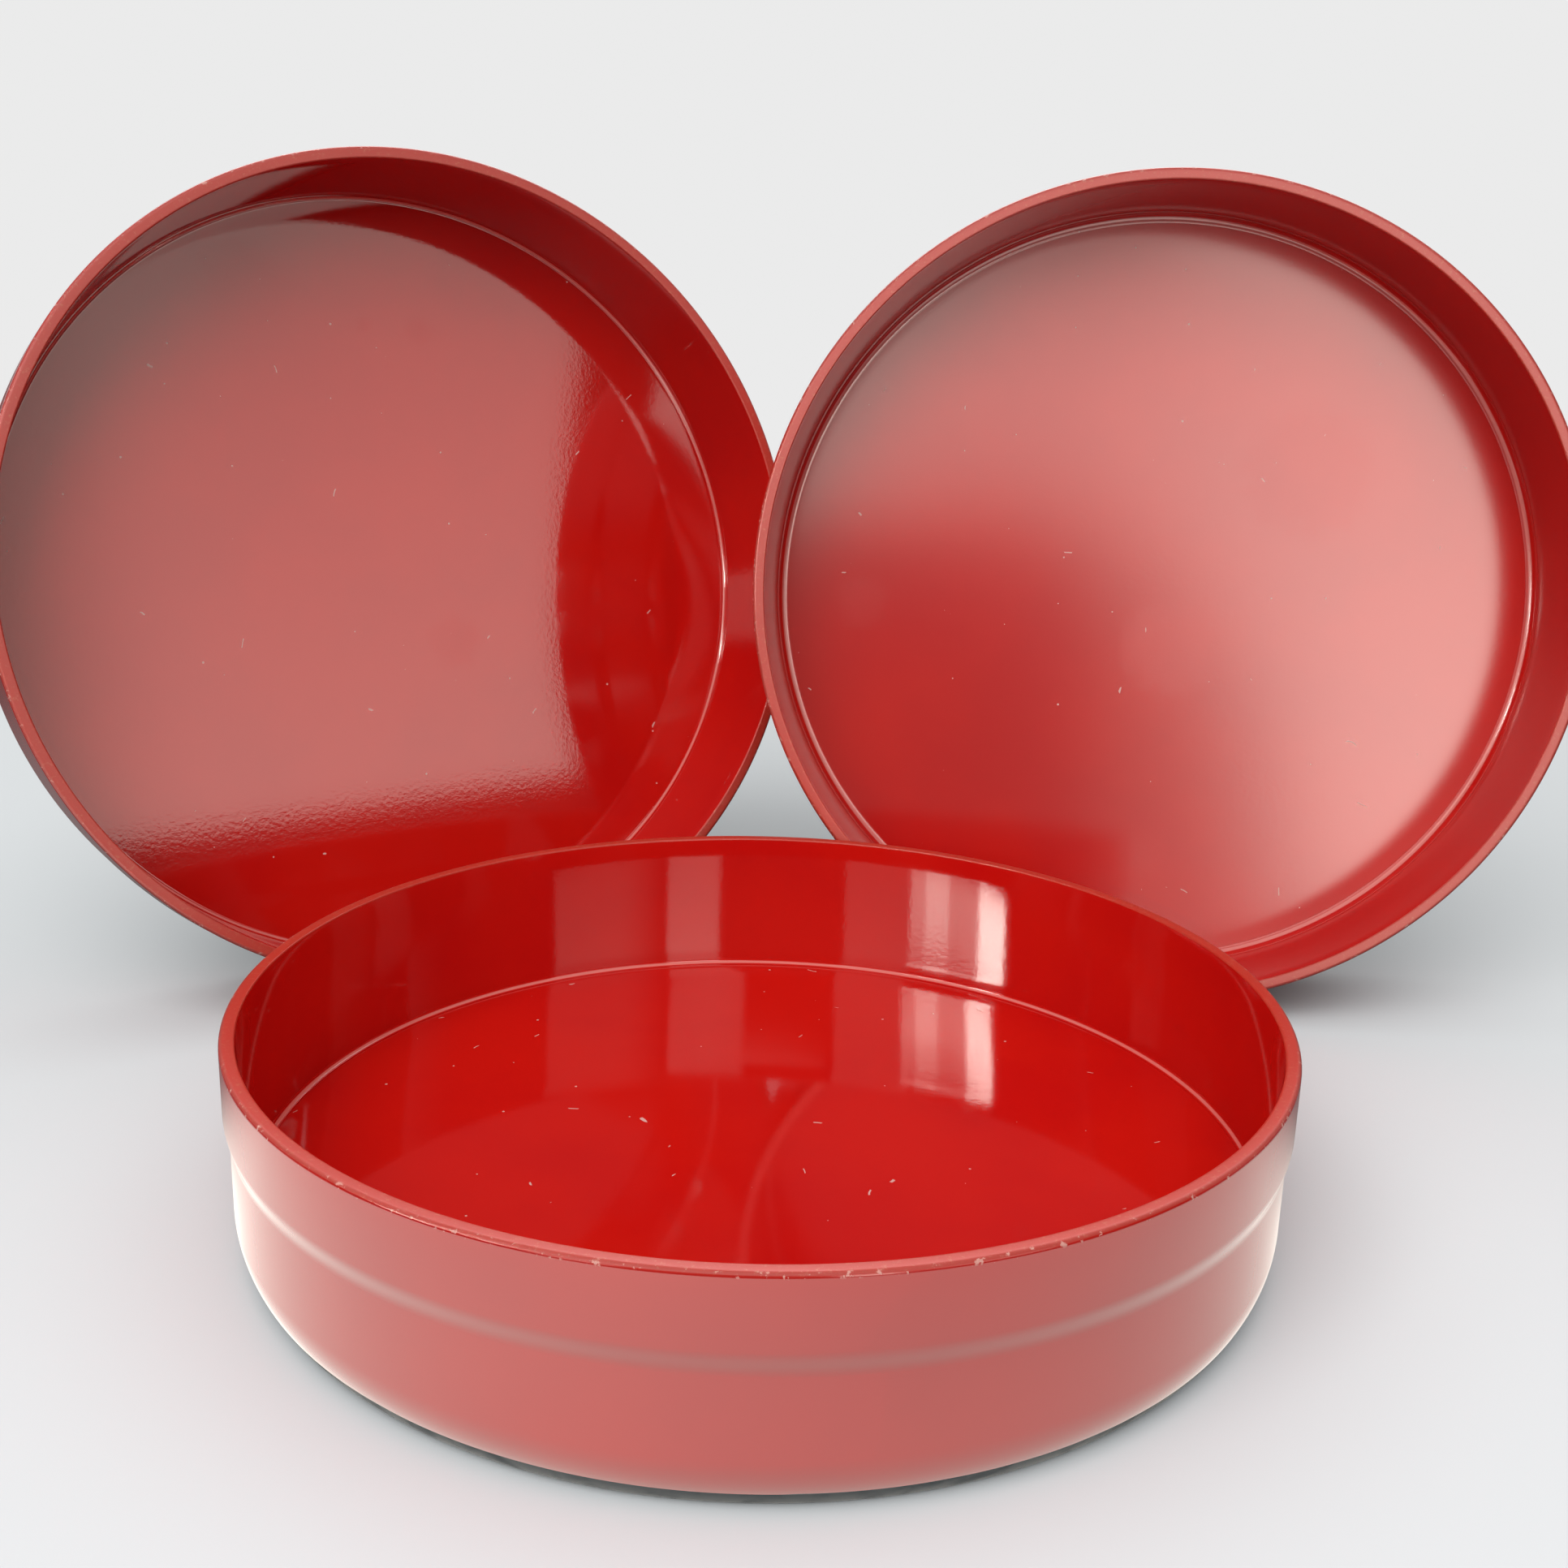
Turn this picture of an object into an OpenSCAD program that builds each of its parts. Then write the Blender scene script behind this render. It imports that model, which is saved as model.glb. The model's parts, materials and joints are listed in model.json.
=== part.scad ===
// Round stacking lacquer box: three matching tiers, apart as they are shown.
// The lower tier stands level. The middle and top tiers stand on edge behind
// it and lean back, with their mouths towards the viewer.
// Millimetres, +Z up. The origin is the centre of the lower tier's foot,
// on the surface that all three tiers stand on. The viewer looks along +Y.

/* [Tier] */
// Diameter over the rim hoop, the widest part of a tier
outer_d = 242; // [200:1:280]
// Height of one tier from the foot to the rim
tier_h = 49.8; // [40:0.2:80]
// Thickness of the wall at the mouth, hoop included
rim_t = 3.4; // [3:0.1:5]
// How much the wall thickens from the mouth down to the floor
wall_draft = 1; // [0:0.1:1.4]
// Height of the straight band inside the mouth, where the next foot enters
mouth_band_h = 6; // [5:0.5:12]
// Radius that softens the inner edge of the rim
rim_inner_r = 0.5; // [0.2:0.1:0.8]

/* [Rim hoop] */
// How far the hoop stands proud of the wall below it
hoop_t = 1.2; // [0.8:0.1:1.6]
// Height of the hoop, measured down from the rim
hoop_h = 18; // [10:0.5:24]
// Radius that softens the hoop's upper outer edge
hoop_top_r = 1.1; // [0.3:0.1:1.1]
// Radius that softens the hoop's lower outer edge
hoop_foot_r = 0.9; // [0.3:0.1:1.1]

/* [Base and floor] */
// Thickness of the black base board
base_t = 4.4; // [3:0.2:6]
// Thickness of the red floor board that lies on the base board
floor_t = 6.2; // [4:0.2:9]
// Radius of the heel, the curve that draws the wall in to the foot
heel_r = 17; // [10:0.5:24]
// Gap all round between a tier's foot and the mouth that it nests in
nest_gap = 2.8; // [1.5:0.1:4]
// Radius that softens the lowest edge of the foot
foot_edge_r = 0.6; // [0.3:0.1:1.2]

/* [Corner beads] */
// Radius of the bead that fills the floor corner of the lower and middle tiers
bead_r = 1.2; // [0.8:0.1:2.2]
// Radius of the wider bead in the floor corner of the top tier
top_bead_r = 2.6; // [1.6:0.1:3.2]
// Thickness that a bead keeps at its two thin edges
bead_edge_t = 0.2; // [0.1:0.05:0.3]

/* [Middle tier stance] */
// How far its foot line lies inside the lower tier's left side
middle_inset = 10; // [0:1:12]
// Clearance between the plane of its rim and the top tier's heel
middle_gap = 0.6; // [0.3:0.1:6]
// Turn of its mouth away from the viewer, to the right
middle_turn_angle = 29.9; // [27:0.1:34]
// Lean of its face back from upright
middle_lean_angle = 12.4; // [10:0.1:16]

/* [Top tier stance] */
// How far its foot line lies inside the lower tier's right side
top_inset = 4; // [-4:1:5]
// Clearance between its rim and the lower tier's hoop
top_gap = 2; // [0.3:0.1:8]
// Turn of its mouth towards the left
top_turn_angle = 5.6; // [2:0.1:8]
// Lean of its face back from upright
top_lean_angle = 10.1; // [9:0.1:14]

/* [Hidden] */
$fn = 96;
lacquer_red = [0.62, 0.06, 0.05];
rim_red = [0.60, 0.16, 0.10];
base_black = [0.09, 0.10, 0.11];
over = 0.01;
cut_past = 1;

// Radii of a tier, from the outside in
outer_r = outer_d / 2;
band_r = outer_r - hoop_t;
mouth_r = outer_r - rim_t;
inner_r = mouth_r - wall_draft;
foot_r = mouth_r - nest_gap;

// Heights of a tier, from the foot up
floor_z = base_t + floor_t;
hoop_z = tier_h - hoop_h;
mouth_z = tier_h - mouth_band_h;
bead_band_z = floor_z + max(bead_r, top_bead_r) + 5 * bead_edge_t;

// The heel is an arc that leaves the wall upright and ends at the foot
heel_x = band_r - heel_r;
heel_z = sqrt(pow(heel_r, 2) - pow(foot_r - heel_x, 2));

// A leaning tier rests on its heel: how high that lifts its foot's centre,
// and how far its foot line is from that centre, measured up its own face
function lift(lean) = heel_x * cos(lean) - heel_z * sin(lean) + heel_r;
function reach(lean) = lift(lean) * tan(lean);

// Directions of a leaning tier: out of its mouth, along its foot line, and up its face
function mouth_dir(turn, lean) = [sin(turn) * cos(lean), -cos(turn) * cos(lean), sin(lean)];
function foot_dir(turn) = [cos(turn), sin(turn), 0];
function face_dir(turn, lean) = [-sin(turn) * sin(lean), cos(turn) * sin(lean), cos(lean)];

// Centre of its foot, for a foot line at (x, y)
function foot_centre(x, y, turn, lean) =
  [x - sin(turn) * reach(lean), y + cos(turn) * reach(lean), lift(lean)];

// Centre of the rim's rounded outer edge, for a foot line at (x, 0),
// at an angle counted from the lowest point of the rim
function rim_edge(x, turn, lean, angle) =
  foot_centre(x, 0, turn, lean)
  + (tier_h - hoop_top_r) * mouth_dir(turn, lean)
  + (outer_r - hoop_top_r) * (sin(angle) * foot_dir(turn) - cos(angle) * face_dir(turn, lean));

// How far back a tier's foot line stands, so that its rim clears the lower tier's hoop
function clear_back(x, turn, lean, gap) =
  let(clear_r = outer_r + hoop_top_r + gap)
  max([
    for (angle = [-90:0.5:90])
      let(edge = rim_edge(x, turn, lean, angle))
        if (edge.z <= tier_h && abs(edge.x) < clear_r) sqrt(pow(clear_r, 2) - pow(edge.x, 2)) - edge.y
  ]);

// Foot lines: the top tier stands close behind the lower one,
// and the plane of the middle tier's rim passes close behind the top tier's heel
top_turn = -top_turn_angle;
top_x = outer_r - top_inset;
top_y = clear_back(top_x, top_turn, top_lean_angle, top_gap);
top_foot = foot_centre(top_x, top_y, top_turn, top_lean_angle);
middle_out = mouth_dir(middle_turn_angle, middle_lean_angle);
top_out = mouth_dir(top_turn, top_lean_angle);
facing = middle_out * top_out;
heel_ahead = middle_out * top_foot + heel_z * facing - heel_x * sqrt(1 - facing * facing) - heel_r;
middle_x = middle_inset - outer_r;
middle_at_zero = foot_centre(middle_x, 0, middle_turn_angle, middle_lean_angle);
middle_y = (heel_ahead - tier_h - middle_gap - middle_out * middle_at_zero) / middle_out.y;

// Flat outlines, drawn as radius along X and height along Y

// Waste to cut from an outer corner at (x, y); side is 1 for a top corner
module corner_waste(x, y, r, side) {
  difference() {
    translate([x - r, side > 0 ? y - r : y - over]) square([r + over, r + over]);
    translate([x - r, y - side * r]) circle(r = r);
  }
}

// Outside of a tier below the hoop, down to the foot
module tier_outline() {
  translate([0, heel_z]) square([band_r, tier_h - heel_z]);
  square([heel_x, heel_z + over]);
  intersection() {
    translate([heel_x - over, 0]) square([heel_r + over, heel_z + over]);
    translate([heel_x, heel_z]) circle(r = heel_r);
  }
}

// Space inside the wall: a straight mouth, a slight draft, a straight foot
module wall_hollow() {
  polygon([
    [0, base_t - cut_past], [inner_r, base_t - cut_past], [inner_r, bead_band_z],
    [mouth_r, mouth_z], [mouth_r, tier_h + cut_past], [0, tier_h + cut_past]
  ]);
}

module base_outline() {
  difference() {
    intersection() {
      tier_outline();
      square([outer_r, base_t]);
    }
    corner_waste(foot_r + foot_edge_r * 0.4, 0, foot_edge_r, -1);
  }
}

module wall_outline() {
  difference() {
    intersection() {
      tier_outline();
      translate([0, base_t]) square([outer_r, tier_h - base_t]);
    }
    wall_hollow();
    // softened inner edge of the rim
    difference() {
      translate([mouth_r - over, tier_h - rim_inner_r]) square([rim_inner_r + over, rim_inner_r + over]);
      translate([mouth_r + rim_inner_r, tier_h - rim_inner_r]) circle(r = rim_inner_r);
    }
  }
}

module hoop_outline() {
  difference() {
    translate([band_r, hoop_z]) square([hoop_t, hoop_h]);
    corner_waste(outer_r, tier_h, hoop_top_r, 1);
    corner_waste(outer_r, hoop_z, hoop_foot_r, -1);
  }
}

module bead_outline(r) {
  size = r + bead_edge_t;
  difference() {
    translate([inner_r - size, floor_z]) square(size);
    translate([inner_r - size, floor_z + size]) circle(r = r);
  }
}

// Pieces of one tier, standing level on the origin

module base_board() {
  color(base_black) rotate_extrude($fn = 240) base_outline();
}

module floor_board() {
  color(lacquer_red) translate([0, 0, base_t]) cylinder(r = inner_r, h = floor_t, $fn = 240);
}

module corner_bead(r) {
  color(lacquer_red) rotate_extrude($fn = 240) bead_outline(r);
}

module wall() {
  color(lacquer_red) rotate_extrude($fn = 240) wall_outline();
}

module rim_hoop() {
  color(rim_red) rotate_extrude($fn = 240) hoop_outline();
}

// Stances: a level tier is turned to lean on its heel at a foot line

module lean_at(x, y, turn, lean) {
  translate([x, y, 0])
    rotate([0, 0, turn])
      translate([0, reach(lean), lift(lean)])
        rotate([90 - lean, 0, 0])
          children();
}

module middle_stance() {
  lean_at(middle_x, middle_y, middle_turn_angle, middle_lean_angle) children();
}

module top_stance() {
  lean_at(top_x, top_y, top_turn, top_lean_angle) children();
}

// Sub-parts

module lower_base_board() { base_board(); }
module lower_floor_board() { floor_board(); }
module lower_corner_bead() { corner_bead(bead_r); }
module lower_wall() { wall(); }
module lower_rim_hoop() { rim_hoop(); }

module middle_base_board() { middle_stance() base_board(); }
module middle_floor_board() { middle_stance() floor_board(); }
module middle_corner_bead() { middle_stance() corner_bead(bead_r); }
module middle_wall() { middle_stance() wall(); }
module middle_rim_hoop() { middle_stance() rim_hoop(); }

module top_base_board() { top_stance() base_board(); }
module top_floor_board() { top_stance() floor_board(); }
module top_corner_bead() { top_stance() corner_bead(top_bead_r); }
module top_wall() { top_stance() wall(); }
module top_rim_hoop() { top_stance() rim_hoop(); }

lower_base_board();
lower_floor_board();
lower_corner_bead();
lower_wall();
lower_rim_hoop();
middle_base_board();
middle_floor_board();
middle_corner_bead();
middle_wall();
middle_rim_hoop();
top_base_board();
top_floor_board();
top_corner_bead();
top_wall();
top_rim_hoop();
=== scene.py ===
import json
import math

import bpy
from mathutils import Matrix, Vector


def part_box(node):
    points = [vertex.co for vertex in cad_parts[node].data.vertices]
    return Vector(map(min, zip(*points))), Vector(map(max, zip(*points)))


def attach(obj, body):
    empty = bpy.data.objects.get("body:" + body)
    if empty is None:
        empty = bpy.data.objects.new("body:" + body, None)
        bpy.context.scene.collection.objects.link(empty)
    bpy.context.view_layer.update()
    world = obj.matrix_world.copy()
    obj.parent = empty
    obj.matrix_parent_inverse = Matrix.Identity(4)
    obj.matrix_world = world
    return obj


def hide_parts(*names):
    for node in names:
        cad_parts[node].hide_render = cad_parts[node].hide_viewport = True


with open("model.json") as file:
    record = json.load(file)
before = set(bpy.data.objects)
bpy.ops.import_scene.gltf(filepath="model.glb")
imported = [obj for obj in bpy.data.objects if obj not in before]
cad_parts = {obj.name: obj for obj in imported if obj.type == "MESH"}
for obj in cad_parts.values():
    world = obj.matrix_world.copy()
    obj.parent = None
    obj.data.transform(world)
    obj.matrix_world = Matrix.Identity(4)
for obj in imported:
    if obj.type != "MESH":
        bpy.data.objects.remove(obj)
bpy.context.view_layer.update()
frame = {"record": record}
mm = 0.001

# Sizes of one tier, read from the level one
hoopLow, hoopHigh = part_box("lower_rim_hoop")
floorLow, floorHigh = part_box("lower_floor_board")
wallLow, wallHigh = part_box("lower_wall")
mouthMount = next(m for m in frame["record"]["mounts"] if m["name"] == "mouth")
tier = {
    "outerR": hoopHigh.x / mm,
    "bandR": wallHigh.x / mm,
    "mouthR": mouthMount["dims"]["r_mm"],
    "innerR": floorHigh.x / mm,
    "height": hoopHigh.z / mm,
    "hoopZ": hoopLow.z / mm,
    "baseT": floorLow.z / mm,
    "floorZ": floorHigh.z / mm,
    "footR": 114.8,
    "heelR": 17.0,
}
tier["heelX"] = tier["bandR"] - tier["heelR"]
tier["heelZ"] = math.sqrt(tier["heelR"] ** 2 - (tier["footR"] - tier["heelX"]) ** 2)

# How each tier stands: turn about the upright, lean back from upright, bead in its floor corner
stances = {
    "lower": {"turn": 0, "lean": 90, "beadR": 1.2, "gloss": 0.06, "ior": 1.75},
    "middle": {"turn": 29.9, "lean": 12.4, "beadR": 1.2, "gloss": 0.06, "ior": 2.0},
    "top": {"turn": -5.6, "lean": 10.1, "beadR": 2.6, "gloss": 0.17, "ior": 2.0},
}


def tierPlace(name):
    # matrix from a tier's own frame, foot at the origin, to where the CAD has it
    stance = stances[name]
    turn = Matrix.Rotation(math.radians(stance["turn"]), 4, "Z")
    tip = Matrix.Rotation(math.radians(90 - stance["lean"]), 4, "X")
    low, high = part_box(name + "_floor_board")
    facing = (turn @ tip).to_3x3() @ Vector((0, 0, 1))
    foot = (low + high) / 2 - facing * (tier["baseT"] + tier["floorZ"]) / 2 * mm
    return Matrix.Translation(foot) @ turn @ tip


# Outlines are lists of (radius, height)

def arc(centreR, centreZ, radius, startAngle, endAngle, steps=8):
    points = []
    for i in range(steps + 1):
        angle = math.radians(startAngle + (endAngle - startAngle) * i / steps)
        points.append((centreR + radius * math.cos(angle), centreZ + radius * math.sin(angle)))
    return points


def heelCurve(fromZ, toZ, steps=24):
    # the arc that draws the wall in towards the foot
    points = []
    for i in range(steps + 1):
        z = fromZ + (toZ - fromZ) * i / steps
        reach = math.sqrt(tier["heelR"] ** 2 - (tier["heelZ"] - z) ** 2)
        points.append((tier["heelX"] + reach, z))
    return points


def ease(a, b, steps=10):
    # a gentle S from point a to point b
    points = []
    for i in range(steps + 1):
        t = i / steps
        s = t * t * (3 - 2 * t)
        points.append((a[0] + (b[0] - a[0]) * s, a[1] + (b[1] - a[1]) * t))
    return points


def turned(name, outline, closed, segments=288):
    # revolves an outline round the tier's axis; an open one ends on the axis at both ends
    verts = []
    faces = []
    rings = []
    for r, z in outline:
        if r < 1e-6:
            rings.append([len(verts)])
            verts.append((0, 0, z * mm))
            continue
        rings.append(list(range(len(verts), len(verts) + segments)))
        for k in range(segments):
            angle = 2 * math.pi * k / segments
            verts.append((r * math.cos(angle) * mm, r * math.sin(angle) * mm, z * mm))
    pairs = list(zip(rings, rings[1:]))
    if closed:
        pairs.append((rings[-1], rings[0]))
    for lower, upper in pairs:
        for k in range(segments):
            n = (k + 1) % segments
            if len(lower) == 1:
                faces.append((lower[0], upper[n], upper[k]))
            elif len(upper) == 1:
                faces.append((lower[k], lower[n], upper[0]))
            else:
                faces.append((lower[k], lower[n], upper[n], upper[k]))
    mesh = bpy.data.meshes.new(name)
    mesh.from_pydata(verts, [], faces)
    mesh.polygons.foreach_set("use_smooth", [True] * len(mesh.polygons))
    mesh.set_sharp_from_angle(angle=math.radians(40))
    mesh.update()
    piece = bpy.data.objects.new(name, mesh)
    bpy.context.scene.collection.objects.link(piece)
    return piece


def place(piece, tierName, node, material):
    piece.matrix_world = tierPlace(tierName)
    piece.data.materials.append(material)
    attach(piece, tierName + "_tier")
    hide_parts(tierName + "_" + node)


# Lacquer

class Nodes:
    # short helpers that add nodes to one material
    def __init__(self, material):
        material.use_nodes = True
        self.tree = material.node_tree
        self.tree.nodes.clear()

    def add(self, kind, **values):
        node = self.tree.nodes.new(kind)
        for key, value in values.items():
            setattr(node, key, value)
        return node

    def link(self, a, b):
        self.tree.links.new(a, b)

    def put(self, socket, value):
        if isinstance(value, bpy.types.NodeSocket):
            self.link(value, socket)
        else:
            socket.default_value = value

    def math(self, operation, a, b=0.0, clamp=False):
        node = self.add("ShaderNodeMath", operation=operation, use_clamp=clamp)
        self.put(node.inputs[0], a)
        self.put(node.inputs[1], b)
        return node.outputs[0]

    def smooth(self, value, low, high):
        # 0 below low, 1 above high, eased between
        node = self.add("ShaderNodeMapRange", interpolation_type="SMOOTHSTEP")
        self.put(node.inputs["Value"], value)
        node.inputs["From Min"].default_value = low
        node.inputs["From Max"].default_value = high
        return node.outputs["Result"]

    def noise(self, vector, scale, detail=2.0, roughness=0.5):
        node = self.add("ShaderNodeTexNoise")
        self.link(vector, node.inputs["Vector"])
        node.inputs["Scale"].default_value = scale
        node.inputs["Detail"].default_value = detail
        node.inputs["Roughness"].default_value = roughness
        return node.outputs["Fac"]

    def blend(self, amount, a, b):
        node = self.add("ShaderNodeMix", data_type="RGBA")
        self.put(node.inputs["Factor"], amount)
        self.put(node.inputs["A"], a)
        self.put(node.inputs["B"], b)
        return node.outputs["Result"]


lacquerLook = {
    "red": (0.52, 0.007, 0.004, 1),
    "deepRed": (0.48, 0.005, 0.004, 1),
    "rim": (0.46, 0.022, 0.008, 1),
    "rimWorn": (0.50, 0.11, 0.06, 1),
    "black": (0.016, 0.023, 0.03, 1),
    "outsideGloss": 0.12,
    "dust": (0.62, 0.34, 0.30, 1),
    "dustCells": 62,
    "dustR": 0.021,
    "hairScale": 34,
    "hairWidth": 0.0032,
    # pale pink of the painted highlight along the corner bead
    "paintedBeadHighlight": (0.78, 0.26, 0.22, 1),
    "chip": (0.66, 0.36, 0.30, 1),
    "chipDark": (0.10, 0.012, 0.008, 1),
    "rimGloss": 0.4,
    "blackWorn": (0.03, 0.039, 0.047, 1),
    "blackGloss": 0.5,
    "blackIor": 1.25,
    "blackLineZ": 4.35,
    "orangePeel": 0.01,
}


def makeBlackLacquer(name):
    look = lacquerLook
    material = bpy.data.materials.new(name)
    n = Nodes(material)
    shader = n.add("ShaderNodeBsdfPrincipled")
    n.link(shader.outputs[0], n.add("ShaderNodeOutputMaterial").inputs["Surface"])
    coords = n.add("ShaderNodeTexCoord").outputs["Object"]
    scuffs = n.smooth(n.noise(coords, 160, 4, 0.6), 0.45, 0.75)
    n.link(n.blend(scuffs, look["black"], look["blackWorn"]), shader.inputs["Base Color"])
    n.link(n.math("ADD", look["blackGloss"], n.math("MULTIPLY", scuffs, 0.2)), shader.inputs["Roughness"])
    shader.inputs["IOR"].default_value = look["blackIor"]
    return material


# Finger marks on the floors of the leaning tiers: centre in mm, size, how much they dull the gloss
marks = {
    "lower": [((40, 52), 14, 0.03), ((-58, -8), 20, 0.03)],
    "middle": [((15.7, 76.3), 5.5, 0.09), ((-1.4, 78.1), 3.0, 0.10), ((17.7, -20.7), 11, 0.07),
               ((-96, 34), 16, 0.06), ((-36, 88), 18, 0.06), ((-30, 8), 26, 0.03)],
    "top": [((-90, -6), 10, 0.02), ((7, -16), 18, 0.04), ((46, 40), 24, 0.03)],
}


def makeMarks(n, at, floorOnly, tierName):
    # soft round dullings with a broken outline
    total = 0.0
    for (x, y), size, dull in marks[tierName]:
        toMark = n.add("ShaderNodeVectorMath", operation="DISTANCE")
        n.link(at, toMark.inputs[0])
        toMark.inputs[1].default_value = (x * mm, y * mm, 0)
        spread = n.math("MULTIPLY", n.math("SUBTRACT", n.noise(at, 260, 3), 0.5), 0.9 * size * mm)
        reach = n.math("ADD", toMark.outputs["Value"], spread)
        spot = n.math("MULTIPLY", n.smooth(reach, size * mm, size * 0.55 * mm), dull)
        total = n.math("ADD", total, spot)
    return n.math("MULTIPLY", total, floorOnly)


def makeLacquer(name, tierName, seed):
    look = lacquerLook
    material = bpy.data.materials.new(name)
    n = Nodes(material)
    shader = n.add("ShaderNodeBsdfPrincipled")
    output = n.add("ShaderNodeOutputMaterial")
    n.link(shader.outputs[0], output.inputs["Surface"])
    coords = n.add("ShaderNodeTexCoord").outputs["Object"]
    shift = n.add("ShaderNodeVectorMath", operation="ADD")
    n.link(coords, shift.inputs[0])
    shift.inputs[1].default_value = (seed * 0.37, seed * 0.21, 0)
    at = shift.outputs[0]
    split = n.add("ShaderNodeSeparateXYZ")
    n.link(coords, split.inputs[0])
    height = split.outputs["Z"]
    flat = n.add("ShaderNodeCombineXYZ")
    n.link(split.outputs["X"], flat.inputs["X"])
    n.link(split.outputs["Y"], flat.inputs["Y"])
    flat = flat.outputs[0]
    facing = n.add("ShaderNodeSeparateXYZ")
    n.link(n.add("ShaderNodeTexCoord").outputs["Normal"], facing.inputs[0])
    level = n.smooth(n.math("ABSOLUTE", facing.outputs["Z"]), 0.95, 0.99)
    floorOnly = n.math("MULTIPLY", level, n.smooth(height, 11.5 * mm, 11.0 * mm))

    mottle = n.noise(at, 22, 3)
    colour = n.blend(n.smooth(mottle, 0.35, 0.7), look["red"], look["deepRed"])

    # dust: small specks and short hairs lying on the floor of the tier
    cells = n.add("ShaderNodeTexVoronoi", voronoi_dimensions="2D", feature="F1")
    flatShift = n.add("ShaderNodeVectorMath", operation="ADD")
    n.link(flat, flatShift.inputs[0])
    flatShift.inputs[1].default_value = (seed * 0.53, seed * 0.29, 0)
    n.link(flatShift.outputs[0], cells.inputs["Vector"])
    cells.inputs["Scale"].default_value = look["dustCells"]
    few = n.add("ShaderNodeSeparateColor")
    n.link(cells.outputs["Color"], few.inputs[0])
    size = n.math("MULTIPLY", n.smooth(few.outputs[0], 0.68, 1.0), look["dustR"])
    speck = n.math("LESS_THAN", cells.outputs["Distance"], size)
    wave = n.math("ABSOLUTE", n.math("SUBTRACT", n.noise(flatShift.outputs[0], look["hairScale"], 1.0), 0.5))
    short = n.smooth(n.noise(flatShift.outputs[0], 210, 0.0), 0.77, 0.78)
    hair = n.math("MULTIPLY", n.math("LESS_THAN", wave, look["hairWidth"]), short)
    dust = n.math("MULTIPLY", n.math("MAXIMUM", speck, hair), floorOnly)
    colour = n.blend(dust, colour, look["dust"])

    # a thin pale line is painted round the floor where the wall meets it: a painted highlight along the corner
    # bead
    radius = n.add("ShaderNodeVectorMath", operation="LENGTH")
    n.link(flat, radius.inputs[0])
    beadHighlightMask = n.math("MULTIPLY", n.smooth(height, (tier["floorZ"] + 0.25) * mm, (tier["floorZ"] + 0.4) * mm),
                  n.smooth(height, (tier["floorZ"] + 1.0) * mm, (tier["floorZ"] + 0.8) * mm))
    beadHighlightMask = n.math("MULTIPLY", beadHighlightMask, n.smooth(radius.outputs["Value"], 116.9 * mm, 116.7 * mm))
    colour = n.blend(n.math("MULTIPLY", beadHighlightMask, 0.55), colour, look["paintedBeadHighlight"])

    # rim: matt orange red on the flat of the rim
    rim = n.smooth(height, (tier["height"] - 0.75) * mm, (tier["height"] - 0.25) * mm)
    worn = n.smooth(n.noise(at, 900, 4, 0.8), 0.54, 0.72)
    rimColour = n.blend(worn, look["rim"], look["rimWorn"])
    colour = n.blend(rim, colour, rimColour)
    # the rim's outer edge is knocked: pale chips in a thin dark line
    edge = n.math("MULTIPLY", n.smooth(height, (tier["height"] - 1.3) * mm, (tier["height"] - 0.7) * mm),
                  n.smooth(radius.outputs["Value"], (tier["outerR"] - 1.1) * mm, (tier["outerR"] - 0.5) * mm))
    colour = n.blend(n.math("MULTIPLY", edge, 0.16), colour, look["chipDark"])
    chips = n.math("MULTIPLY", edge, n.smooth(n.noise(at, 520, 3, 0.7), 0.60, 0.66))
    chips = n.math("MULTIPLY", chips, 0.7)
    colour = n.blend(chips, colour, look["chip"])

    # black foot, with a slightly wandering edge
    wander = n.math("MULTIPLY", n.math("SUBTRACT", n.noise(at, 55, 2), 0.5), 0.0014)
    footLine = n.math("SUBTRACT", height, wander)
    foot = n.smooth(footLine, (look["blackLineZ"] + 0.12) * mm, (look["blackLineZ"] - 0.12) * mm)
    colour = n.blend(foot, colour, look["black"])
    n.link(colour, shader.inputs["Base Color"])

    gloss = stances[tierName]["gloss"]
    outside = n.smooth(radius.outputs["Value"], 118.2 * mm, 118.6 * mm)
    rough = n.math("ADD", gloss, n.math("MULTIPLY", outside, max(0, look["outsideGloss"] - gloss)))
    rough = n.math("ADD", rough, n.math("MULTIPLY", rim, look["rimGloss"] - gloss))
    rough = n.math("ADD", rough, n.math("MULTIPLY", foot, look["blackGloss"] - gloss))
    rough = n.math("ADD", rough, n.math("MULTIPLY", n.math("MAXIMUM", dust, chips), 0.5))
    rough = n.math("ADD", rough, makeMarks(n, flat, floorOnly, tierName))
    n.link(rough, shader.inputs["Roughness"])
    shader.inputs["IOR"].default_value = stances[tierName]["ior"]

    peel = n.noise(at, 900, 2)
    bump = n.add("ShaderNodeBump")
    bump.inputs["Strength"].default_value = look["orangePeel"]
    bump.inputs["Distance"].default_value = 0.001
    n.link(peel, bump.inputs["Height"])
    n.link(bump.outputs[0], shader.inputs["Normal"])
    return material


# Pieces of one tier

baseBoard = {"edgeR": 0.6, "segments": 288}


def makeBaseBoard(tierName, material):
    edge = baseBoard["edgeR"]
    footEdge = tier["footR"] + edge * 0.4
    outline = [(0, 0), (footEdge - 24, 0), (footEdge - 6, 0)]
    outline += arc(footEdge - edge, edge, edge, -90, -8, 6)
    outline += [p for p in heelCurve(edge, tier["baseT"], 10) if p[0] > footEdge]
    outline += [(tier["innerR"] - 4, tier["baseT"]), (0, tier["baseT"])]
    piece = turned(tierName + "_base_board_lacquered", outline, False, baseBoard["segments"])
    place(piece, tierName, "base_board", material)
    return piece


floorBoard = {"dish": 0.12, "rings": 24}


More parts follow.
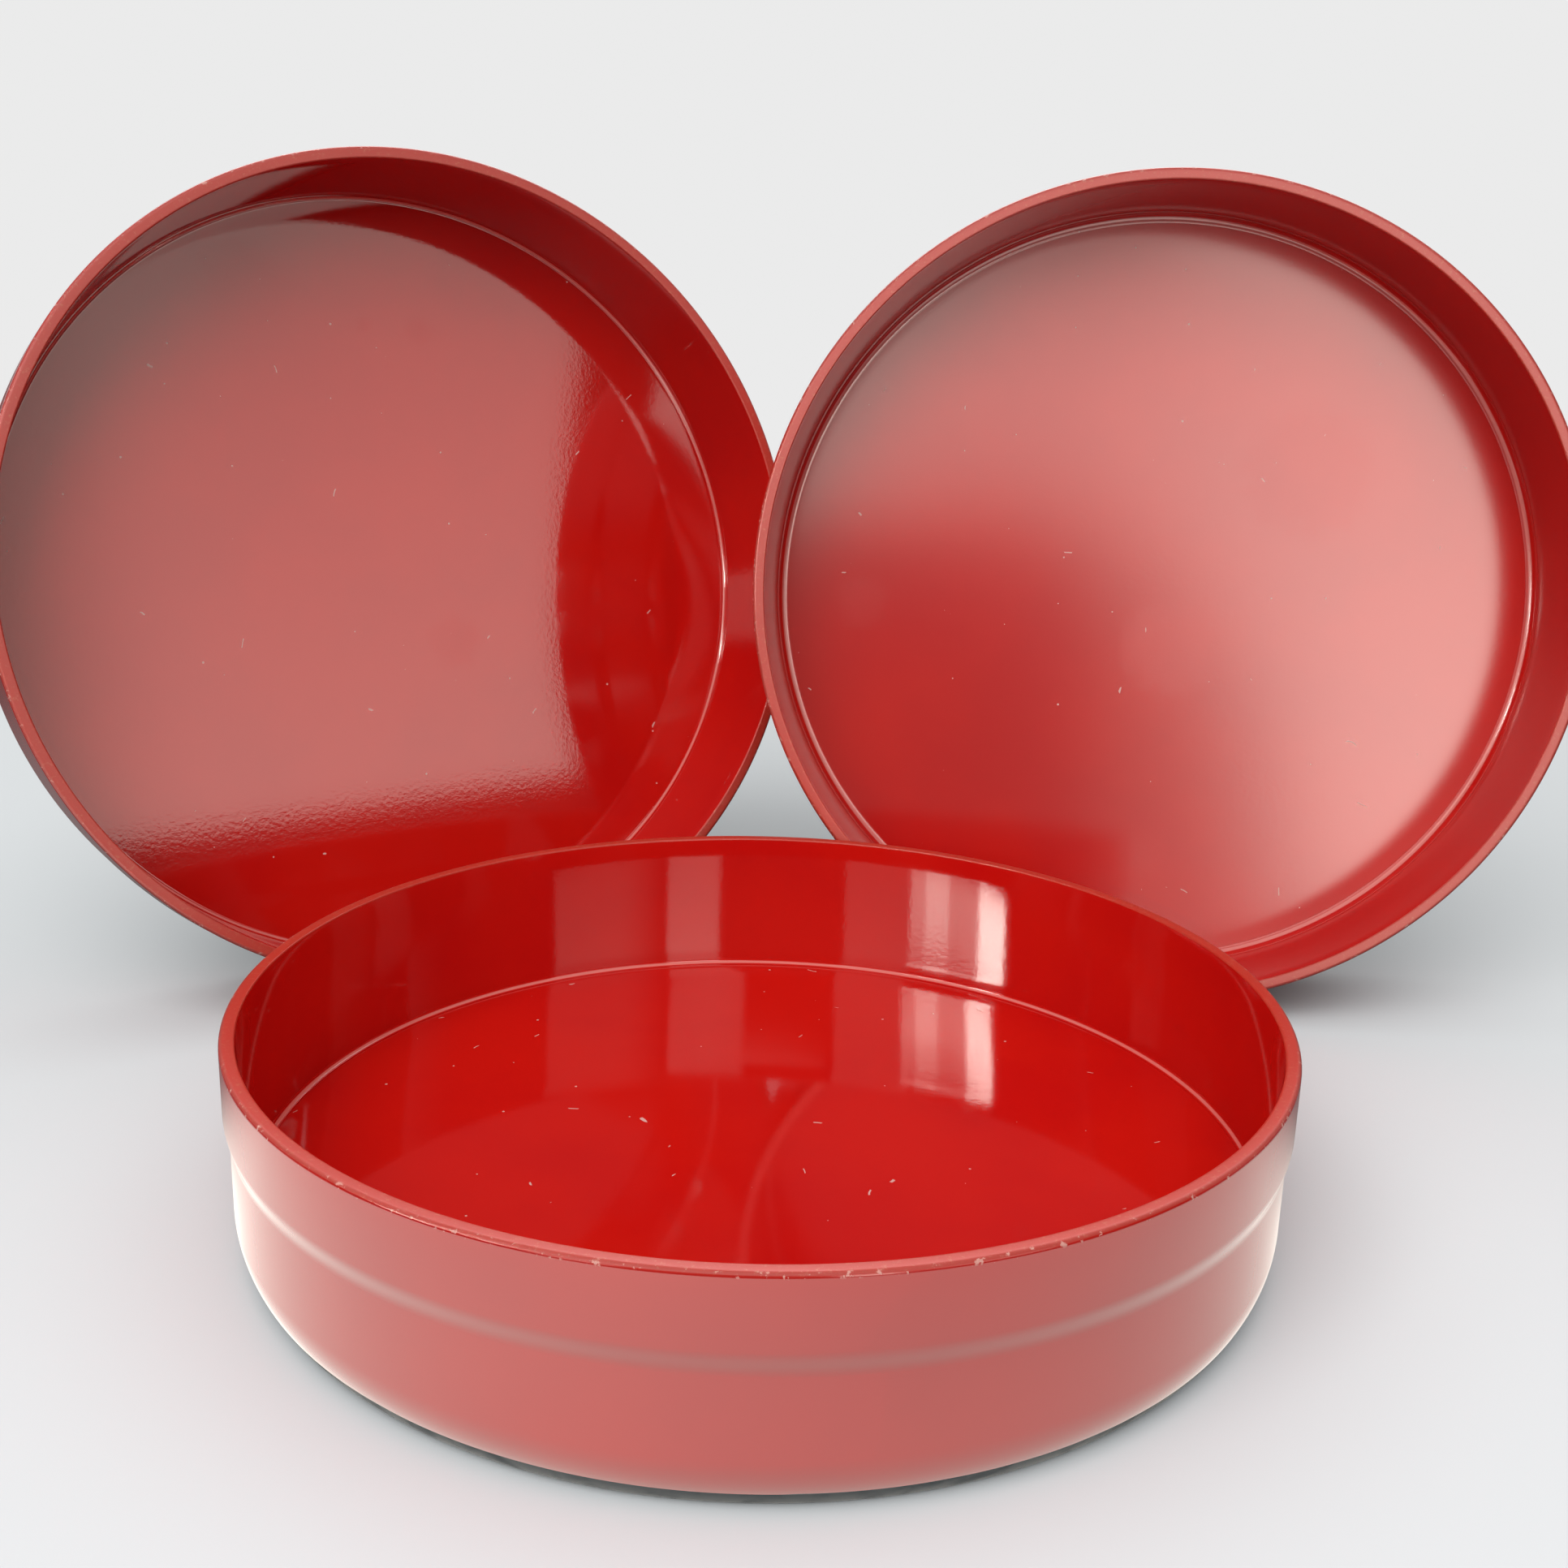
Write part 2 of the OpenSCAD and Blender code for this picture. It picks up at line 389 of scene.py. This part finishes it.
def makeFloorBoard(tierName, material):
    # its top is very slightly dished, as a hand-planed board is
    outline = [(0, tier["baseT"]), (tier["innerR"], tier["baseT"])]
    rings = floorBoard["rings"]
    for i in range(rings + 1):
        share = 1 - i / rings
        sag = floorBoard["dish"] * (1 - share * share)
        outline.append((tier["innerR"] * share, tier["floorZ"] - sag))
    piece = turned(tierName + "_floor_board_lacquered", outline, False)
    place(piece, tierName, "floor_board", material)
    return piece


cornerBead = {"edgeT": 0.2}


def makeCornerBead(tierName, material):
    radius = stances[tierName]["beadR"]
    size = radius + cornerBead["edgeT"]
    inner = tier["innerR"] - size
    outline = [(tier["innerR"], tier["floorZ"]), (tier["innerR"], tier["floorZ"] + size)]
    outline += arc(inner, tier["floorZ"] + size, radius, 0, -90, 12)
    outline += [(inner, tier["floorZ"])]
    piece = turned(tierName + "_corner_bead_lacquered", outline, True)
    place(piece, tierName, "corner_bead", material)
    return piece


wallShape = {"draftTop": 6.0, "rimRound": 0.5, "footBand": 2.8}


def makeWall(tierName, material):
    top = tier["height"]
    roundR = wallShape["rimRound"]
    outline = heelCurve(tier["baseT"], tier["heelZ"])
    outline += [(tier["bandR"], tier["heelZ"] + 6), (tier["bandR"], tier["hoopZ"]), (tier["bandR"], top)]
    outline += arc(tier["mouthR"] + roundR, top - roundR, roundR, 90, 180, 6)
    footZ = tier["floorZ"] + wallShape["footBand"]
    for i in range(17):
        share = 1 - i / 16
        reach = tier["innerR"] + (tier["mouthR"] - tier["innerR"]) * (1 - (1 - share) ** 2)
        outline.append((reach, footZ + (top - wallShape["draftTop"] - footZ) * share))
    outline += [(tier["innerR"], tier["baseT"])]
    piece = turned(tierName + "_wall_lacquered", outline, True)
    place(piece, tierName, "wall", material)
    return piece


rimHoop = {"topR": 1.1, "stepAbove": 3.0, "stepBelow": 2.6}


def makeRimHoop(tierName, material):
    # the lacquer turns its lower edge into a soft step
    outer, band, top = tier["outerR"], tier["bandR"], tier["height"]
    low = (band, tier["hoopZ"] - rimHoop["stepBelow"])
    high = (outer, tier["hoopZ"] + rimHoop["stepAbove"])
    outline = ease(low, high, 14)
    outline += [(outer, top - 6)]
    outline += arc(outer - rimHoop["topR"], top - rimHoop["topR"], rimHoop["topR"], 0, 90, 10)
    outline += [(band, top)]
    piece = turned(tierName + "_rim_hoop_lacquered", outline, True)
    place(piece, tierName, "rim_hoop", material)
    return piece


for seed, tierName in enumerate(stances):
    lacquer = makeLacquer(tierName + "TierLacquer", tierName, seed + 1)
    makeBaseBoard(tierName, makeBlackLacquer(tierName + "BaseLacquer"))
    for makePiece in (makeFloorBoard, makeCornerBead, makeWall, makeRimHoop):
        makePiece(tierName, lacquer)
    print("made the", tierName, "tier")

# Studio

# mirrored: strength of a painted glow, a pool of light the floor shows only in reflections near the tiers
stageFloor = {"size": 14.0, "seen": (0.68, 0.705, 0.715, 1), "bounce": (0.22, 0.22, 0.22, 1),
              "farBounce": (0.07, 0.07, 0.07, 1), "gloss": 0.4,
              "fadeFrom": 0.45, "fadeTo": 1.2, "mirrored": 1.8,
              "nearTo": 0.29, "nearFrom": 0.36}
paleBackground = 0.83
panelTint = (1.0, 0.96, 0.87, 1)


def makeStageFloor():
    # a pale floor that melts into the background; it throws less light back than it shows
    look = stageFloor
    half = look["size"] / 2
    mesh = bpy.data.meshes.new("stageFloor")
    corners = [(-half, -half, 0), (half, -half, 0), (half, half, 0), (-half, half, 0)]
    mesh.from_pydata(corners, [], [(0, 1, 2, 3)])
    floor = bpy.data.objects.new("stageFloor", mesh)
    bpy.context.scene.collection.objects.link(floor)
    material = bpy.data.materials.new("paleFloor")
    n = Nodes(material)
    shader = n.add("ShaderNodeBsdfPrincipled")
    output = n.add("ShaderNodeOutputMaterial")
    rays = n.add("ShaderNodeLightPath")
    seen = rays.outputs["Is Camera Ray"]
    distance = n.add("ShaderNodeVectorMath", operation="LENGTH")
    n.link(n.add("ShaderNodeTexCoord").outputs["Object"], distance.inputs[0])
    bounce = n.blend(n.smooth(distance.outputs["Value"], 0.3, 0.7), look["bounce"], look["farBounce"])
    n.link(n.blend(seen, bounce, look["seen"]), shader.inputs["Base Color"])
    shader.inputs["Roughness"].default_value = look["gloss"]
    shader.inputs["Specular IOR Level"].default_value = 0
    split = n.add("ShaderNodeSeparateXYZ")
    n.link(n.add("ShaderNodeTexCoord").outputs["Object"], split.inputs[0])
    # painted light: near the tiers' front the floor glows for glossy rays only, a painted pool of light seen in
    # the lacquer's reflections
    glowPoolMask = n.smooth(distance.outputs["Value"], look["nearFrom"], look["nearTo"])
    glowPoolMask = n.math("MULTIPLY", glowPoolMask, n.smooth(split.outputs["Y"], 0.05, -0.03))
    glowPoolMask = n.math("MULTIPLY", glowPoolMask, n.math("SUBTRACT", 1.0, n.math("MULTIPLY", 0.3,
                                                                  n.smooth(split.outputs["X"], -0.1, 0.12))))
    mirrored = n.math("MULTIPLY", rays.outputs["Is Glossy Ray"], n.math("MULTIPLY", glowPoolMask, look["mirrored"]))
    shader.inputs["Emission Color"].default_value = panelTint
    n.link(mirrored, shader.inputs["Emission Strength"])
    backdrop = n.add("ShaderNodeEmission")
    backdrop.inputs["Strength"].default_value = paleBackground
    far = n.smooth(distance.outputs["Value"], look["fadeFrom"], look["fadeTo"])
    mix = n.add("ShaderNodeMixShader")
    n.link(n.math("MULTIPLY", far, seen), mix.inputs[0])
    n.link(shader.outputs[0], mix.inputs[1])
    n.link(backdrop.outputs[0], mix.inputs[2])
    n.link(mix.outputs[0], output.inputs["Surface"])
    mesh.materials.append(material)


# Upright soft panels round the viewer's side, each from one spot on the floor plan to
# another, left to right as the object sees them from behind; strength low and high
panels = {
    "frontPanel": {"start": (-0.75, -2.4), "end": (1.15, -2.4), "low": 0.02, "high": 1.6, "bulge": 0,
                   "strength": 4.3, "highStrength": 2.0},
    "leftPanel": {"start": (-2.1, -2.4), "end": (-0.85, -2.4), "low": 0.3, "high": 2.2, "bulge": 0,
                  "strength": 1.5, "highStrength": 1.5},
    "leftWindow": {"start": (-0.6685, -0.2444), "end": (-0.447, -0.528), "low": 0.213, "high": 0.475, "bulge": 0,
                   "strength": 48.0, "highStrength": 48.0},
    "sidePanel": {"start": (0.83, -1.69), "end": (1.514, -1.033), "low": 0.312, "high": 1.25, "bulge": 0.22,
                  "strength": 1.5, "highStrength": 0.85},
}


def frontPattern(n, across, up):
    # a plain round dark zone low on the left, and nothing above it
    x = n.math("DIVIDE", n.math("SUBTRACT", across, 0.34), 0.27)
    y = n.math("DIVIDE", n.math("SUBTRACT", up, 0.03), 0.46)
    round2 = n.math("ADD", n.math("MULTIPLY", x, x), n.math("MULTIPLY", y, y))
    outside = n.math("ADD", 0.16, n.math("MULTIPLY", n.smooth(round2, 0.72, 1.28), 0.84))
    leftTop = n.math("MULTIPLY", n.smooth(across, 0.53, 0.49), n.smooth(up, 0.74, 0.82))
    brighter = n.math("ADD", 0.62, n.math("MULTIPLY", n.smooth(across, 0.3, 0.75), 0.38))
    leftLow = n.math("MULTIPLY", n.smooth(across, 0.34, 0.24), n.smooth(up, 0.50, 0.40))
    plain = n.math("MULTIPLY", n.math("SUBTRACT", 1.0, leftTop),
                   n.math("SUBTRACT", 1.0, n.math("MULTIPLY", leftLow, 0.75)))
    return n.math("MULTIPLY", n.math("MULTIPLY", outside, brighter), plain)


def windowPattern(n, across, up):
    # a narrow bright light and a dimmer one, with thin bars low down
    bright = n.math("MULTIPLY", n.smooth(across, 0.06, 0.10), n.smooth(across, 0.36, 0.32))
    dimmer = n.math("MULTIPLY", n.smooth(across, 0.62, 0.64), n.smooth(across, 0.87, 0.84))
    light = n.math("ADD", n.math("MULTIPLY", bright, 0.85), n.math("MULTIPLY", dimmer, 0.22))
    light = n.math("ADD", light, n.math("MULTIPLY", n.smooth(across, 0.06, 0.10), 0.26))
    for bar in (0.038, 0.070, 0.100, 0.86):
        gap = n.smooth(n.math("ABSOLUTE", n.math("SUBTRACT", up, bar)), 0.003, 0.008)
        light = n.math("MULTIPLY", light, n.math("ADD", 0.35, n.math("MULTIPLY", gap, 0.65)))
    soft = n.math("MULTIPLY", n.smooth(up, 0.0, 0.03), n.smooth(up, 1.0, 0.94))
    middle = n.math("MULTIPLY", n.smooth(up, 0.14, 0.17), n.smooth(up, 0.82, 0.79))
    soft = n.math("MULTIPLY", soft, n.math("SUBTRACT", 1.0, middle))
    return n.math("MULTIPLY", light, soft)


def sidePattern(n, across, up):
    # fades in from its near side
    return n.smooth(across, -0.1, 0.4)


patterns = {"frontPanel": frontPattern, "leftWindow": windowPattern, "sidePanel": sidePattern}


def makePanel(name, panel):
    # its far side may curve, hollow towards the middle
    steps = 16
    start, end = Vector(panel["start"]).to_3d(), Vector(panel["end"]).to_3d()
    along = (end - start).normalized()
    verts = []
    for i in range(steps + 1):
        share = i / steps
        z = panel["low"] + (panel["high"] - panel["low"]) * share
        swell = panel["bulge"] * (max(0, share - 0.15) / 0.85) ** 1.3
        verts += [start + Vector((0, 0, z)), end + along * swell + Vector((0, 0, z))]
    faces = [(2 * i, 2 * i + 1, 2 * i + 3, 2 * i + 2) for i in range(steps)]
    mesh = bpy.data.meshes.new(name)
    mesh.from_pydata(verts, [], faces)
    card = bpy.data.objects.new(name, mesh)
    bpy.context.scene.collection.objects.link(card)
    card.visible_camera = False
    card.visible_diffuse = False  # it shows in the gloss and lights nothing else
    material = bpy.data.materials.new(name)
    n = Nodes(material)
    glow = n.add("ShaderNodeEmission")
    glow.inputs["Color"].default_value = panelTint
    output = n.add("ShaderNodeOutputMaterial")
    n.link(glow.outputs[0], output.inputs["Surface"])
    split = n.add("ShaderNodeSeparateXYZ")
    n.link(n.add("ShaderNodeTexCoord").outputs["Generated"], split.inputs[0])
    across, up = split.outputs["X"], split.outputs["Z"]
    rise = n.math("MULTIPLY", up, panel["highStrength"] - panel["strength"])
    strength = n.math("ADD", rise, panel["strength"])
    if name in patterns:
        strength = n.math("MULTIPLY", strength, patterns[name](n, across, up))
    n.link(strength, glow.inputs["Strength"])
    mesh.materials.append(material)


nearFlag = {"left": -0.18, "right": 0.10, "low": 0.01, "high": 0.285, "y": -0.43, "round": 0.07, "glow": 0.12}


def makeNearFlag():
    # a dark rounded card just behind the camera, which keeps a calm zone in the reflections
    flag = nearFlag
    r = flag["round"]
    corners = [(flag["left"], flag["y"], flag["low"]), (flag["right"], flag["y"], flag["low"])]
    for centreX, start in ((flag["right"] - r, 0), (flag["left"] + r, 90)):
        for x, z in arc(centreX, flag["high"] - r, r, start, start + 90, 8):
            corners.append((x, flag["y"], z))
    mesh = bpy.data.meshes.new("nearFlag")
    mesh.from_pydata(corners, [], [tuple(range(len(corners)))])
    card = bpy.data.objects.new("nearFlag", mesh)
    bpy.context.scene.collection.objects.link(card)
    card.visible_camera = False
    card.visible_shadow = False
    material = bpy.data.materials.new("nearFlag")
    n = Nodes(material)
    cloth = n.add("ShaderNodeEmission")
    cloth.inputs["Color"].default_value = panelTint
    cloth.inputs["Strength"].default_value = flag["glow"]
    n.link(cloth.outputs[0], n.add("ShaderNodeOutputMaterial").inputs["Surface"])
    mesh.materials.append(material)


studioWorld = {"above": 1.05, "front": 0.36, "back": 0.2, "glossyAbove": 0.4, "glossyFront": 0.015,
               "glossyBack": 0.4, "glossyBackHigh": 5.0}


def makeWorld():
    # bright above, dim on the viewer's side, where only the panels show in the lacquer
    look = studioWorld
    world = bpy.data.worlds.new("studioWorld")
    bpy.context.scene.world = world
    n = Nodes(world)
    background = n.add("ShaderNodeBackground")
    background.inputs["Color"].default_value = (1, 1, 1, 1)
    output = n.add("ShaderNodeOutputWorld")
    n.link(background.outputs[0], output.inputs["Surface"])
    split = n.add("ShaderNodeSeparateXYZ")
    n.link(n.add("ShaderNodeTexCoord").outputs["Generated"], split.inputs[0])
    back = n.smooth(split.outputs["Y"], -0.1, 0.35)
    high = n.smooth(split.outputs["Z"], 0.5, 0.8)

    def level(front, behind, above):
        side = n.math("ADD", front, n.math("MULTIPLY", back, behind - front))
        lift = n.math("MULTIPLY", high, n.math("SUBTRACT", above, side))
        return n.math("ADD", side, lift)

    rays = n.add("ShaderNodeLightPath")
    diffuse = level(look["front"], look["back"], look["above"])
    glossy = level(look["glossyFront"], look["glossyBack"], look["glossyAbove"])
    seen = n.math("MULTIPLY", rays.outputs["Is Camera Ray"], paleBackground)
    lit = n.math("MULTIPLY", rays.outputs["Is Diffuse Ray"], diffuse)
    behind = n.math("MULTIPLY", n.smooth(split.outputs["Y"], 0.5, 0.7), n.smooth(split.outputs["Z"], 0.46, 0.54))
    glossy = n.math("ADD", glossy, n.math("MULTIPLY", behind, look["glossyBackHigh"]))
    mirrored = n.math("MULTIPLY", rays.outputs["Is Glossy Ray"], glossy)
    n.link(n.math("ADD", n.math("ADD", lit, mirrored), seen), background.inputs["Strength"])


keyLamp = {"place": (-0.55, -1.5, 1.45), "size": 2.1, "power": 46}


def makeKeyLamp():
    data = bpy.data.lights.new("keyLamp", "AREA")
    data.shape = "SQUARE"
    data.size = keyLamp["size"]
    data.energy = keyLamp["power"]
    lamp = bpy.data.objects.new("keyLamp", data)
    lamp.location = keyLamp["place"]
    aim = Vector((0, 0.08, 0.05)) - lamp.location
    lamp.rotation_euler = aim.to_track_quat("-Z", "Y").to_euler()
    lamp.visible_glossy = False  # the panels alone show in the gloss
    bpy.context.scene.collection.objects.link(lamp)


# The camera stands where the photograph was taken, worked out from the rims and floors
view = {
    "place": (0.0, -0.37752, 0.20698),
    "ahead": (0.00899, 0.96219, -0.27225),
    "right": (0.99964, -0.00179, 0.02671),
    "lens": 40.055,
}


def makeCamera():
    data = bpy.data.cameras.new("camera")
    data.sensor_fit = "HORIZONTAL"
    data.sensor_width = 36
    data.lens = view["lens"]
    data.clip_start = 0.01
    camera = bpy.data.objects.new("camera", data)
    ahead = Vector(view["ahead"]).normalized()
    right = Vector(view["right"])
    right = (right - ahead * right.dot(ahead)).normalized()
    upward = right.cross(ahead)
    turn = Matrix((right, upward, -ahead)).transposed().to_4x4()
    camera.matrix_world = Matrix.Translation(view["place"]) @ turn
    bpy.context.scene.collection.objects.link(camera)
    bpy.context.scene.camera = camera


makeStageFloor()
for panelName, panel in panels.items():
    makePanel(panelName, panel)
makeNearFlag()
makeWorld()
makeKeyLamp()
makeCamera()
bpy.context.scene.view_settings.view_transform = "Standard"
print("made the studio")
